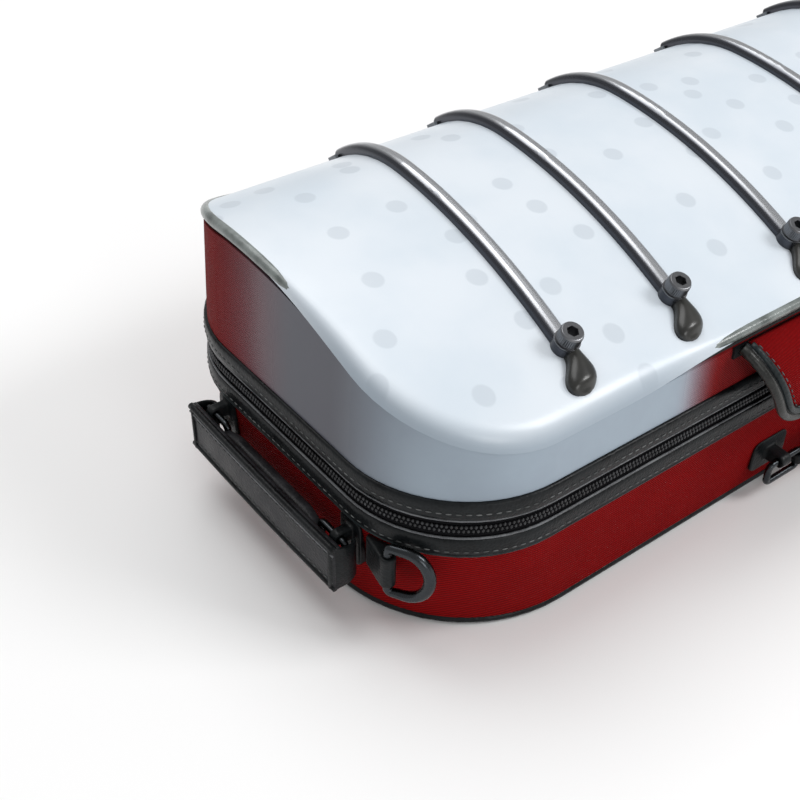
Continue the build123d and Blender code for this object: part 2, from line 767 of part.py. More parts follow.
box_lid_low, box_lid_high = -50, 95
box_lid_t = 3
box_axis_x = box_left + 1.5
with BuildPart() as accessory_lid:
    with Locations(((box_axis_x + lid_right) / 2, (box_lid_low + box_lid_high) / 2, box_top + play)):
        Box(
            lid_right - box_axis_x,
            box_lid_high - box_lid_low,
            box_lid_t,
            align=(Align.CENTER, Align.CENTER, Align.MIN),
        )
    fillet(accessory_lid.edges().filter_by(Axis.Z).sort_by(Axis.X)[-2:], 8)
save(accessory_lid, "accessory_lid")

with BuildPart() as accessory_pull:
    with Locations((lid_right - 10, (box_lid_low + box_lid_high) / 2, box_top + play + box_lid_t + gap)):
        Box(26, 14, 1.6, align=(Align.CENTER, Align.CENTER, Align.MIN))
    fillet(accessory_pull.edges().filter_by(Axis.Z), 4)
save(accessory_pull, "accessory_pull")

# --- Bow holders inside the lid -------------------------------------------------------------
bow_rows = (("front", -45), ("rear", 45))
block_l, block_w, block_drop = 30, 22, 16
spinner_x = 190
tip_x_place = -335
lid_ceiling = dome_depth + gap + lining_t
ceiling_depth = lid_ceiling + 0.2


def block_foot(y):
    """Height of the lower end of a bow block at y."""
    return arch_height(y) - lid_ceiling - block_drop


with BuildPart() as bow_blocks:
    for bow_name, bow_y in bow_rows:
        with Locations((spinner_x, bow_y, block_foot(bow_y))):
            Box(block_l, block_w, 40, align=(Align.CENTER, Align.CENTER, Align.MIN))
    under_arch(ceiling_depth, Mode.INTERSECT)
    for bow_name, bow_y in bow_rows:
        with Locations((spinner_x, bow_y, block_foot(bow_y))):
            Cylinder(3.05, 16, mode=Mode.SUBTRACT)
save(bow_blocks, "bow_blocks")

with BuildPart() as bow_tip_pockets:
    for bow_name, bow_y in bow_rows:
        with Locations((tip_x_place, bow_y, block_foot(bow_y))):
            Box(40, 26, 40, align=(Align.CENTER, Align.CENTER, Align.MIN))
    under_arch(ceiling_depth, Mode.INTERSECT)
    for bow_name, bow_y in bow_rows:
        with Locations((tip_x_place + 6, bow_y, block_foot(bow_y) + 3)):
            Box(40, 18, 7, align=(Align.CENTER, Align.CENTER, Align.MIN), mode=Mode.SUBTRACT)
save(bow_tip_pockets, "bow_tip_pockets")

for bow_name, bow_y in bow_rows:
    foot = block_foot(bow_y)
    with BuildPart() as bow_spinner:
        with BuildSketch(Plane.XY.offset(foot - 0.4)):
            with Locations((spinner_x, bow_y)):
                SlotOverall(52, 15, rotation=90)
        extrude(amount=-6)
        fillet(bow_spinner.edges().group_by(Axis.Z)[0], 2)
        with Locations((spinner_x, bow_y, foot - 1)):
            Cylinder(3.0, 8, align=(Align.CENTER, Align.CENTER, Align.MIN))
    save(bow_spinner, f"bow_spinner_{bow_name}")
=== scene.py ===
"""Looks of the violin case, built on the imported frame.

Lengths are in millimetres until place() scales them to metres. x runs along the case, -y out of its
front and z up. Stations are (point, outward, up), and sections are lists of (out, up)."""

from math import asin, cos, hypot, pi, radians, sin, sqrt, tan

import bmesh
import bpy
from mathutils import Matrix, Vector


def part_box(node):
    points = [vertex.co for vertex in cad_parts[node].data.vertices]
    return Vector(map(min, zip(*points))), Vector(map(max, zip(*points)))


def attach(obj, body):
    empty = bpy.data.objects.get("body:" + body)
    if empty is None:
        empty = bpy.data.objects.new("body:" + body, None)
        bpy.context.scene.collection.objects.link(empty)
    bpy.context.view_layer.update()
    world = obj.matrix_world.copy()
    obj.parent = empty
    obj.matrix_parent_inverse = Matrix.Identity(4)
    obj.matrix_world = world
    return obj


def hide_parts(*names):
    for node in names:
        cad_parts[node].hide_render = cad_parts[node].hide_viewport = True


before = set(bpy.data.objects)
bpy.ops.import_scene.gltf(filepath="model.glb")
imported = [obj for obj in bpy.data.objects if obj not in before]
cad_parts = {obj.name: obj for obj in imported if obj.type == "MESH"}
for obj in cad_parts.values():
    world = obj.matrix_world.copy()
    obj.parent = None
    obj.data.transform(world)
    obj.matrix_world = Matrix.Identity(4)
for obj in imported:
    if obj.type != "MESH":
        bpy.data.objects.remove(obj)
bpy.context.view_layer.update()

MM = 0.001
cover_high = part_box("lid_cover")[1]
HALF_L = cover_high.x / MM
HALF_W = cover_high.y / MM
CORNER_R = 72
FLOOR_CORNER_R = 88
BAND_LOW = 65
PARTING = (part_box("lower_zip_coil")[1].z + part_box("upper_zip_coil")[0].z) / 2 / MM
BAND_TOP = 101
CREST_Y, CREST_Z = 50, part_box("lid_top_panel")[1].z / MM
FRONT_ARC, REAR_ARC = 400, 115
DRAFT = tan(radians(3))
GAP_HALF = 300
RIB_NAMES = [f"rib_{i}" for i in range(1, 8)]
RIB_SLANT, SCREW_REACH, RIB_EYE_R = radians(5.5), 148, 7
SCREWS = [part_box(name)[0].x / MM + RIB_EYE_R for name in RIB_NAMES]
SCREW_Y = CREST_Y - SCREW_REACH * cos(RIB_SLANT)


# --- Small maths --------------------------------------------------------------------------------
def arch_radius(y):
    return FRONT_ARC if y < CREST_Y else REAR_ARC


def arch_z(y):
    """Height of the lid's arch at y."""
    radius = arch_radius(y)
    return CREST_Z - radius + sqrt(max(radius**2 - (y - CREST_Y) ** 2, 0))


def arch_frame(x, y, lift=0.0):
    """Point on the arch, its normal and the direction towards the rear."""
    slope = asin((y - CREST_Y) / arch_radius(y))
    normal = Vector((0, sin(slope), cos(slope)))
    rear = Vector((0, cos(slope), -sin(slope)))
    return Vector((x, y, arch_z(y))) + normal * lift, normal, rear


def ease(t):
    t = min(max(t, 0.0), 1.0)
    return t * t * (3 - 2 * t)


def plan_loop(inset, gap_half=None, step=9.0, corner_r=CORNER_R):
    """Points (x, y, outward x, outward y) clockwise round the plan, seen from above.
    With gap_half the rear stretch between -gap_half and gap_half is left out."""
    a, b, r = HALF_L - inset, HALF_W - inset, max(corner_r - inset, 1)
    start = gap_half or 0
    points = []

    def straight(x0, y0, x1, y1, nx, ny):
        count = max(int(hypot(x1 - x0, y1 - y0) / step), 1)
        for k in range(count):
            t = k / count
            points.append((x0 + (x1 - x0) * t, y0 + (y1 - y0) * t, nx, ny))

    def corner(cx, cy, first):
        count = 14
        for k in range(count):
            angle = radians(first - 90 * k / count)
            points.append((cx + r * cos(angle), cy + r * sin(angle), cos(angle), sin(angle)))

    straight(start, b, a - r, b, 0, 1)
    corner(a - r, b - r, 90)
    straight(a, b - r, a, -b + r, 1, 0)
    corner(a - r, -b + r, 0)
    straight(a - r, -b, -a + r, -b, 0, -1)
    corner(-a + r, -b + r, -90)
    straight(-a, -b + r, -a, b - r, -1, 0)
    corner(-a + r, b - r, 180)
    straight(-a + r, b, -start, b, 0, 1)
    if gap_half:
        points.append((-start, b, 0, 1))
    return points


def rim(inset, z, gap_half=None, step=9.0):
    """Sweep stations (point, outward, up) at one height."""
    up = Vector((0, 0, 1))
    return [(Vector((x, y, z)), Vector((nx, ny, 0)), up) for x, y, nx, ny in plan_loop(inset, gap_half, step)]


def spaced(stations, pitch, closed=False):
    """Stations set out at an even pitch, each with the direction along the path."""
    run = stations + stations[:1] if closed else stations
    out = []
    travelled, due = 0.0, pitch / 2
    for (p0, n0, u0), (p1, n1, _) in zip(run, run[1:]):
        length = (p1 - p0).length
        while length > 0 and due <= travelled + length:
            t = (due - travelled) / length
            out.append((p0.lerp(p1, t), n0.lerp(n1, t).normalized(), u0, (p1 - p0).normalized()))
            due += pitch
        travelled += length
    return out


# --- Mesh makers ---------------------------------------------------------------------------------
def place(name, points, faces, material, body, slot=None, smooth=True, replaced=()):
    """Makes one piece from millimetre points, gives it a material and lets it ride on a body."""
    mesh = bpy.data.meshes.new(name)
    mesh.from_pydata([(p[0] * MM, p[1] * MM, p[2] * MM) for p in points], [], faces)
    mesh.validate()
    work = bmesh.new()
    work.from_mesh(mesh)
    bmesh.ops.recalc_face_normals(work, faces=work.faces)
    work.to_mesh(mesh)
    work.free()
    if smooth:
        mesh.shade_smooth()
    return adopt(name, mesh, material, body, replaced)


def adopt(name, mesh, material, body, replaced=()):
    """Links a finished mesh as a piece."""
    piece = bpy.data.objects.new(name, mesh)
    bpy.context.scene.collection.objects.link(piece)
    mesh.materials.clear()
    mesh.materials.append(material)
    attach(piece, body)
    if replaced:
        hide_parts(*replaced)
    return piece


def sweep(stations, section, closed=False):
    """Points and faces of a closed section [(out, up)] carried along stations."""
    count = len(section)
    points, faces = [], []
    for p, out, up in stations:
        points.extend(p + out * o + up * u for o, u in section)
    laps = len(stations) if closed else len(stations) - 1
    for i in range(laps):
        j = (i + 1) % len(stations)
        for k in range(count):
            m = (k + 1) % count
            faces.append((i * count + k, j * count + k, j * count + m, i * count + m))
    if not closed:
        faces.append(tuple(range(count)))
        last = (len(stations) - 1) * count
        faces.append(tuple(range(last + count - 1, last - 1, -1)))
    return points, faces


def circle(radius, count=12, out=0.0, up=0.0, squash=1.0):
    turn = 2 * pi / count
    return [(out + radius * cos(k * turn), up + squash * radius * sin(k * turn)) for k in range(count)]


def tube_points(path, radius, count=10, closed=False):
    """Round tube along a list of points, with frames that don't twist. radius may be a list."""
    total = len(path)
    points, faces = [], []
    side = None
    for i, p in enumerate(path):
        before = path[(i - 1) % total] if closed or i else p
        after = path[(i + 1) % total] if closed or i < total - 1 else p
        along = (after - before).normalized()
        if side is None:
            side = along.orthogonal().normalized()
        side = (side - along * side.dot(along)).normalized()
        other = along.cross(side)
        r = radius[i] if isinstance(radius, list) else radius
        turns = [2 * pi * k / count for k in range(count)]
        points.extend(p + side * (r * cos(turn)) + other * (r * sin(turn)) for turn in turns)
    laps = total if closed else total - 1
    for i in range(laps):
        j = (i + 1) % total
        for k in range(count):
            m = (k + 1) % count
            faces.append((i * count + k, j * count + k, j * count + m, i * count + m))
    if not closed:
        faces.append(tuple(range(count)))
        faces.append(tuple(range((total - 1) * count, total * count)))
    return points, faces


def merged(parts):
    """Joins several (points, faces) into one."""
    points, faces = [], []
    for some_points, some_faces in parts:
        base = len(points)
        points.extend(some_points)
        faces.extend(tuple(k + base for k in face) for face in some_faces)
    return points, faces


def bead(length, width, height, rings=5, around=8):
    """Rounded grain: length along, width up, height out, centred at zero."""
    points, faces = [], []
    for i in range(rings):
        lat = pi * (i + 0.5) / rings - pi / 2
        for k in range(around):
            turn = 2 * pi * k / around
            across, rise = cos(lat) * sin(turn) * width / 2, cos(lat) * cos(turn) * height / 2
            points.append((sin(lat) * length / 2, across, rise))
    for i in range(rings - 1):
        for k in range(around):
            m = (k + 1) % around
            faces.append((i * around + k, (i + 1) * around + k, (i + 1) * around + m, i * around + m))
    faces.append(tuple(range(around)))
    faces.append(tuple(range((rings - 1) * around, rings * around)))
    return points, faces


def stamped(template, spots, lift=0.0, lean=0.0):
    """Copies of a template (along, up, out) at spots (point, outward, up, along)."""
    parts = []
    for i, (p, out, up, along) in enumerate(spots):
        tilt = lean * (1 if i % 2 else -1)
        rise = up * cos(tilt) + along * sin(tilt)
        run = along * cos(tilt) - up * sin(tilt)
        parts.append(([p + run * a + rise * u + out * (o + lift) for a, u, o in template[0]], template[1]))
    return merged(parts)


def evaluated(piece):
    """The piece's mesh with its modifiers applied."""
    bpy.context.view_layer.update()
    graph = bpy.context.evaluated_depsgraph_get()
    mesh = bpy.data.meshes.new_from_object(piece.evaluated_get(graph), depsgraph=graph)
    return mesh


def settle(piece):
    """Applies the modifiers of a piece."""
    mesh = evaluated(piece)
    piece.modifiers.clear()
    old = piece.data
    piece.data = mesh
    bpy.data.meshes.remove(old)
    return piece


def soften(node, material, body, voxel, rounds, name=None):
    """A rounded, remeshed copy of a soft CAD node, which it replaces."""
    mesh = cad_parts[node].data.copy()
    piece = adopt(name or f"{node}_soft", mesh, material, body)
    remesh = piece.modifiers.new("remesh", "REMESH")
    remesh.mode = "VOXEL"
    remesh.voxel_size = voxel * MM
    remesh.use_smooth_shade = True
    smooth = piece.modifiers.new("smooth", "SMOOTH")
    smooth.factor = 0.5
    smooth.iterations = rounds
    settle(piece)
    piece.data.materials.clear()
    piece.data.materials.append(material)
    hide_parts(node)
    return piece


# --- Materials -----------------------------------------------------------------------------------
def linear(r, g, b):
    """Linear colour from an 8-bit one."""

    def channel(v):
        v /= 255
        return v / 12.92 if v <= 0.04045 else ((v + 0.055) / 1.055) ** 2.4

    return (channel(r), channel(g), channel(b), 1.0)


class Net:
    """A material and short ways to add nodes to it."""

    def __init__(self, name, roughness=0.5, metallic=0.0, color=(0.5, 0.5, 0.5, 1.0), **sockets):
        self.material = bpy.data.materials.new(name)
        self.material.use_nodes = True
        self.tree = self.material.node_tree
        self.shader = self.tree.nodes["Principled BSDF"]
        self.set(self.shader, "Base Color", color)
        self.set(self.shader, "Roughness", roughness)
        self.set(self.shader, "Metallic", metallic)
        for key, value in sockets.items():
            self.set(self.shader, key.replace("_", " "), value)
        self.where = self.node("ShaderNodeTexCoord").outputs["Object"]

    def set(self, node, socket, value):
        if hasattr(value, "is_output"):
            self.tree.links.new(value, node.inputs[socket])
        else:
            node.inputs[socket].default_value = value

    def node(self, kind, **sockets):
        node = self.tree.nodes.new(kind)
        for key, value in sockets.items():
            self.set(node, key.replace("_", " "), value)
        return node

    def math(self, operation, a, b=0.0, c=0.0):
        node = self.tree.nodes.new("ShaderNodeMath")
        node.operation = operation
        for k, value in enumerate((a, b, c)):
            self.set(node, k, value)
        return node.outputs[0]

    def along(self, direction, pitch):
        """Position along a direction, in turns of one pitch (mm)."""
        node = self.tree.nodes.new("ShaderNodeVectorMath")
        node.operation = "DOT_PRODUCT"
        self.set(node, 0, self.where)
        self.set(node, 1, tuple(d / (pitch * MM) for d in direction))
        return node.outputs["Value"]

    def wave(self, direction, pitch):
        return self.math("SINE", self.math("MULTIPLY", self.along(direction, pitch), 2 * pi))

    def scaled(self, x, y, z):
        node = self.tree.nodes.new("ShaderNodeVectorMath")
        node.operation = "MULTIPLY"
        self.set(node, 0, self.where)
        self.set(node, 1, (x, y, z))
        return node.outputs["Vector"]

    def noise(self, size, detail=3.0, where=None):
        """Noise with features of about size (mm)."""
        node = self.node("ShaderNodeTexNoise", Scale=1 / (size * MM), Detail=detail)
        self.set(node, "Vector", where or self.where)
        return node.outputs["Fac"]

    def cells(self, size, feature="F1"):
        node = self.node("ShaderNodeTexVoronoi", Scale=1 / (size * MM))
        node.feature = feature
        self.set(node, "Vector", self.where)
        return node.outputs["Distance"]

    def fit(self, value, low, high, to_low=0.0, to_high=1.0):
        node = self.tree.nodes.new("ShaderNodeMapRange")
        node.interpolation_type = "SMOOTHSTEP"
        for k, item in enumerate((value, low, high, to_low, to_high)):
            self.set(node, k, item)
        return node.outputs[0]

    def mix(self, factor, a, b):
        node = self.tree.nodes.new("ShaderNodeMix")
        node.data_type = "RGBA"
        self.set(node, 0, factor)
        self.set(node, 6, a)
        self.set(node, 7, b)
        return node.outputs[2]

    def color(self, value):
        self.set(self.shader, "Base Color", value)

    def bump(self, height, distance, strength=1.0):
        node = self.node("ShaderNodeBump", Strength=strength, Distance=distance * MM)
        self.set(node, "Height", height)
        self.set(self.shader, "Normal", node.outputs["Normal"])


def twill(net, dark, light, pitch=1.3):
    """Diagonal weave: returns its colour and its height."""
    rib = net.wave((1, 1, 1), pitch)
    cross = net.wave((1, -0.4, -1), pitch * 0.62)
    grain = net.noise(0.7, 2)
    height = net.math("ADD", rib, net.math("MULTIPLY", cross, 0.35))
    height = net.math("ADD", height, net.math("MULTIPLY", grain, 0.5))
    cloud = net.noise(26, 4)
    tone = net.fit(net.math("ADD", height, net.math("MULTIPLY", cloud, 0.7)), -1.1, 2.1)
    return net.mix(tone, dark, light), height


def canvas(name, dark, light):
    net = Net(name, roughness=0.85, Specular_IOR_Level=0.08)
    color, height = twill(net, dark, light)
    net.color(color)
    net.bump(height, 0.22, 0.9)
    return net.material


def leather(name, dark, light, roughness=0.42, size=1.5, coat=0.04):
    net = Net(name, roughness=roughness, Specular_IOR_Level=0.16, Coat_Weight=coat, Coat_Roughness=0.2)
    pores = net.cells(size)
    creases = net.cells(size * 3.1, "SMOOTH_F1")
    cloud = net.noise(18, 4)
    height = net.math("ADD", pores, net.math("MULTIPLY", creases, 0.6))
    tone = net.math("ADD", cloud, net.math("MULTIPLY", pores, 0.3))
    net.color(net.mix(net.fit(tone, 0.3, 0.9), dark, light))
    net.bump(height, 0.22, 0.7)
    net.set(net.shader, "Roughness", net.fit(cloud, 0.3, 0.75, roughness - 0.06, roughness + 0.14))
    return net.material


def metal(name, color, roughness, streak=None, worn=0.08):
    net = Net(name, roughness=roughness, metallic=1.0, color=color)
    where = net.scaled(*streak) if streak else None
    lines = net.noise(1.0, 3, where)
    net.set(net.shader, "Roughness", net.fit(lines, 0.25, 0.8, roughness, roughness + worn))
    net.color(net.mix(net.noise(9, 3), color, tuple(c * 0.86 for c in color[:3]) + (1.0,)))
    net.bump(lines, 0.03, 0.5)
    return net.material


def plush(name, dark, light, quilt=0):
    """Short pile. With quilt (mm) diamond seams are pressed into it, and their grooves are darkened as
    painted shade.
    """
    net = Net(name, roughness=0.95, Sheen_Weight=0.35, Sheen_Roughness=0.4)
    pile = net.noise(0.9, 3)
    nap = net.noise(14, 3)
    tone = net.math("ADD", pile, net.math("MULTIPLY", nap, 0.7))
    height = net.math("ADD", pile, net.math("MULTIPLY", nap, 0.8))
    if quilt:
        seams = [net.math("ABSOLUTE", net.wave((1, way, 0), quilt)) for way in (-1, 1)]
        pressed = net.fit(net.math("MINIMUM", *seams), 0.0, 0.3)
        # Along the seams the tone drops to two thirds: painted shade in the seam grooves.
        tone = net.math("MULTIPLY", tone, net.fit(pressed, 0, 1, 0.66, 1))
        height = net.math("ADD", height, net.math("MULTIPLY", pressed, 3.0))
    net.color(net.mix(net.fit(tone, 0.4, 1.25), dark, light))
    net.bump(height, 0.5, 0.8)
    return net.material


def plastic(name, dark, light, roughness, grain=0.6, coat=0.0):
    net = Net(name, roughness=roughness, Coat_Weight=coat, Coat_Roughness=0.1)
    net.color(net.mix(net.fit(net.noise(14, 4), 0.3, 0.7), dark, light))
    net.bump(net.noise(grain, 2), 0.05, 0.4)
    return net.material


def corner_share(net, front_x, front_run, end_y, end_run):
    """1 round the front left corner, fading along the front wall and along the end wall."""
    split = net.node("ShaderNodeSeparateXYZ", Vector=net.where)
    x, y = split.outputs["X"], split.outputs["Y"]
    front = net.fit(x, front_x * MM, (front_x - front_run) * MM)
    end = net.fit(y, end_y * MM, (end_y - end_run) * MM)
    return net.math("MULTIPLY", front, end)


RED_DARK, RED_LIGHT = linear(72, 1, 3), linear(156, 6, 9)
# Blue-grey for the shell's wall at the front left corner: the white shell darkened with painted shade.
WALL_GREY_SHADED = linear(152, 165, 177)
# Darker grey for the end wall: painted shade on the side turned away from the light.
END_WALL_SHADE_GREY = linear(84, 85, 94)
WHITE_TOP = linear(205, 215, 224)

canvas_red = canvas("canvas_red_weave", RED_DARK, RED_LIGHT)
leather_black = leather("leather_black_grain", linear(6, 7, 8), linear(24, 27, 29), 0.33)
leather_teal = leather("leather_teal_grain", linear(12, 17, 19), linear(36, 45, 47), 0.32)
leather_grey = leather("leather_grey_grain", linear(16, 16, 18), linear(46, 46, 49), 0.34)
leather_bead = leather("leather_bead_grain", linear(14, 15, 15), linear(44, 45, 43), 0.26, coat=0.15)
leather_line = leather("leather_line_grain", linear(62, 63, 66), linear(112, 114, 117), 0.28, 0.9, coat=0.2)
thread = plastic("thread_pale", linear(60, 62, 62), linear(104, 106, 106), 0.7, 0.3)
thread_dark = plastic("thread_grey", linear(46, 50, 52), linear(80, 84, 87), 0.7, 0.3)
tape_cloth = canvas("zip_tape_weave", linear(8, 8, 9), linear(30, 30, 33))
coil_nylon = plastic("zip_coil_nylon", linear(20, 20, 22), linear(52, 53, 56), 0.3)
screw_steel = metal("steel_screw_grey", linear(120, 121, 124), 0.28)
chrome = metal("steel_bright_worn", linear(206, 207, 210), 0.16)
gunmetal = metal("steel_dark_worn", linear(62, 65, 68), 0.2, None, 0.14)
brass = metal("brass_polished", linear(196, 158, 88), 0.22)
rubber = plastic("rubber_olive", linear(20, 21, 20), linear(40, 40, 37), 0.3, 0.8, 0.12)
rubber_black = plastic("rubber_black", linear(20, 20, 21), linear(34, 34, 35), 0.6, 0.7)
bracket_plastic = plastic("bracket_grey", linear(104, 108, 113), linear(150, 154, 158), 0.35)
board = plastic("floor_board", linear(14, 14, 15), linear(30, 30, 31), 0.7, 0.9)
plush_wine = plush("plush_wine", linear(44, 6, 14), linear(104, 20, 36))
plush_dark = plush("plush_dark_wine", linear(34, 5, 11), linear(82, 15, 28))
plush_quilted = plush("plush_quilted_wine", linear(34, 5, 11), linear(86, 16, 30), 110)

rib_net = Net("rib_aluminium_brushed", roughness=0.24, metallic=1.0)
rib_lines = rib_net.noise(1.0, 3, rib_net.scaled(3200, 40, 40))
# Faces turned towards -x are darkened to a dark grey: a painted dark reflection down the ribs' left sides.
rib_normal = rib_net.node("ShaderNodeTexCoord").outputs["Normal"]
rib_facing = rib_net.node("ShaderNodeSeparateXYZ", Vector=rib_normal)
rib_dark_side_reflection = rib_net.fit(rib_facing.outputs["X"], -0.15, -0.75)
rib_tone = rib_net.mix(rib_net.fit(rib_lines, 0.3, 0.7), linear(176, 178, 182), linear(206, 208, 212))
rib_net.color(rib_net.mix(rib_dark_side_reflection, rib_tone, linear(74, 76, 82)))
rib_net.set(rib_net.shader, "Roughness", rib_net.fit(rib_lines, 0.25, 0.8, 0.2, 0.34))
rib_net.bump(rib_lines, 0.03, 0.5)

top_net = Net("hard_top_gloss", roughness=0.3, Coat_Weight=0.06, Coat_Roughness=0.2)
spots = top_net.node("ShaderNodeTexVoronoi", Scale=1 / (37 * MM))
spots.voronoi_dimensions = "2D"
top_net.set(spots, "Vector", top_net.where)
gate = top_net.node("ShaderNodeSeparateColor", Color=spots.outputs["Color"])
disc = top_net.fit(spots.outputs["Distance"], 0.178, 0.135)
chosen = top_net.math("GREATER_THAN", gate.outputs[0], 0.26)
spot_share = top_net.math("MULTIPLY", top_net.math("MULTIPLY", disc, chosen), 0.42)
milky = top_net.mix(top_net.fit(top_net.noise(70, 4), 0.3, 0.7), WHITE_TOP, linear(216, 223, 230))
spotted = top_net.mix(spot_share, milky, linear(178, 187, 196))
# At the front left corner the soft fillet fades from the white top into the wall grey: painted shade where
# the surface turns down away from the light.
fillet_shade_mark = top_net.node("ShaderNodeAttribute")
fillet_shade_mark.attribute_name = "fillet_shade_share"
top_net.color(top_net.mix(fillet_shade_mark.outputs["Fac"], spotted, WALL_GREY_SHADED))
top_net.set(top_net.shader, "Roughness", top_net.fit(top_net.noise(30, 4), 0.3, 0.75, 0.28, 0.38))
top_net.bump(top_net.noise(60, 2), 0.25, 0.25)

side_net = Net("lid_side_wall", roughness=0.5, Specular_IOR_Level=0.25)
share = corner_share(side_net, -212, 34, 78, 90)
red, red_height = twill(side_net, RED_DARK, RED_LIGHT)
side_place = side_net.node("ShaderNodeSeparateXYZ", Vector=side_net.where)
# Towards the end wall the grey turns to the darker end wall grey: painted shade.
end_share = side_net.fit(side_place.outputs["Y"], -112 * MM, -40 * MM)
# The wall's grey, painted shade of the white shell, with a little random variation.
grey = side_net.mix(side_net.fit(side_net.noise(40, 4), 0.3, 0.7), linear(146, 158, 170), WALL_GREY_SHADED)
grey = side_net.mix(end_share, grey, END_WALL_SHADE_GREY)
side_net.color(side_net.mix(share, red, grey))
side_net.set(side_net.shader, "Roughness", side_net.fit(share, 0, 1, 0.82, 0.24))
side_net.bump(side_net.math("MULTIPLY", red_height, side_net.fit(share, 0, 1, 1, 0)), 0.28, 0.9)

pipe_net = Net("piping_cord", roughness=0.3, Coat_Weight=0.3, Coat_Roughness=0.15)
pipe_share = corner_share(pipe_net, -230, 60, -20, 70)
cord_cloud = pipe_net.fit(pipe_net.noise(12, 4), 0.3, 0.7)
cord_tone = pipe_net.mix(cord_cloud, linear(78, 84, 82), linear(128, 135, 133))
pipe_net.color(pipe_net.mix(pipe_share, cord_tone, linear(196, 205, 214)))
pipe_net.bump(pipe_net.math("MULTIPLY", pipe_net.cells(1.6), pipe_net.fit(pipe_share, 0, 1, 1, 0)), 0.2, 0.5)


def dress(material, *nodes):
    """Gives CAD nodes that stay in view a detailed material."""
    for node in nodes:
        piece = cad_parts[node]
        for slot in piece.material_slots:
            slot.link = "OBJECT"
            slot.material = material


dress(canvas_red, "base_cover")
dress(side_net.material, "lid_cover")
dress(top_net.material, "lid_top_panel")
dress(rib_net.material, *RIB_NAMES)
dress(bracket_plastic, "rib_brackets")
dress(tape_cloth, "lower_zip_tape", "upper_zip_tape", "lower_zip_coil", "upper_zip_coil")
dress(board, "bottom_panel", "base_shell", "lid_shell", "lid_dome")
dress(plush_dark, "base_lining")
dress(plush_quilted, "lid_lining")
dress(plush_wine, "neck_strap")
dress(gunmetal, "base_hinge_leaves", "lid_hinge_leaves")
dress(chrome, "hinge_pins", "slider_left", "slider_right", "pull_left", "pull_right")
dress(gunmetal, "handle_links", "end_handle_links")
dress(rubber_black, "base_rear_feet", "lid_rear_feet")
dress(leather_black, "flap_hem", "accessory_pull")
dress(brass, "bow_spinner_front", "bow_spinner_rear")

# --- Zip band ------------------------------------------------------------------------------------
BINDING_PROUD, BINDING_H, STITCH_PITCH, TOOTH_PITCH = 2.15, 11.8, 4.9, 2.4
binding_out = [(-1.1, 0), (1.0, 0.1), (1.9, 1.1), (BINDING_PROUD, 3.4)]
binding_out += [(BINDING_PROUD, 8.2), (1.9, 10.7), (1.0, 11.7), (-1.1, BINDING_H)]
lower_run = rim(0, BAND_LOW + 0.1, GAP_HALF)
upper_run = rim(0, 2 * PARTING - BAND_LOW - BINDING_H - 0.1, GAP_HALF)
place("lower_binding_leather", *sweep(lower_run, binding_out), leather_black, "base", "leather_black",
      replaced=["lower_binding"])
place("upper_binding_leather", *sweep(upper_run, binding_out), leather_black, "lid", "leather_black",
      replaced=["upper_binding"])
stitch = bead(3.1, 0.8, 0.7)
for name, z, body in (("lower_stitches", 68.6, "base"), ("upper_stitches", 94.2, "lid")):
    spots_along = spaced(rim(-BINDING_PROUD, z, GAP_HALF - 4), STITCH_PITCH)
    place(name, *stamped(stitch, spots_along, 0.08), thread, body, "leather_black")
# Pale grey rolled edges along the bindings: their paleness is a painted highlight on the black leather's
# edge.
for name, z, body in (("lower_rolled_edge_highlight", 77.1, "base"), ("upper_rolled_edge_highlight", 88.9, "lid")):
    place(name, *sweep(rim(-0.9, z, GAP_HALF), circle(0.65, 10)), leather_line, body, "leather_black")
place("lower_welt", *sweep(rim(-1.0, 65.5, GAP_HALF), circle(1.15, 10)), leather_teal, "base",
      "leather_black")
tooth = bead(1.5, 2.6, 1.5, 4, 6)
for name, z, body, shift in (("lower_teeth", 81.7, "base", 0), ("upper_teeth", 84.3, "lid", TOOTH_PITCH / 2)):
    run = spaced(rim(-0.7, z, GAP_HALF - 1), TOOTH_PITCH)
    moved = [(p + along * shift, out, up, along) for p, out, up, along in run]
    place(name, *stamped(tooth, moved), coil_nylon, body, "zip_coil")

# --- Piping --------------------------------------------------------------------------------------
TIGHT_FILLET, SOFT_FILLET, SKIN = 4.0, 10.0, 0.35


def softness(x, y):
    """1 round the front left corner, where the top runs softly into the wall, 0 elsewhere."""
    return ease((-x - 190) / 90) * ease((25 - y) / 90)


def fillet(x, y):
    return TIGHT_FILLET + (SOFT_FILLET - TIGHT_FILLET) * softness(x, y)


def top_edge(drop=0.0, inset=0.0, drop_fillet=False):
    """Stations on the sharp edge between the arch and the wall, lowered and moved in."""
    stations = []
    for x, y, nx, ny in plan_loop(0):
        z = arch_z(y * (HALF_W - 4) / HALF_W) - (fillet(x, y) if drop_fillet else drop)
        move = inset + (z - BAND_TOP) * DRAFT
        stations.append((Vector((x - nx * move, y - ny * move, z)), Vector((nx, ny, 0)), Vector((0, 0, 1))))
    return stations


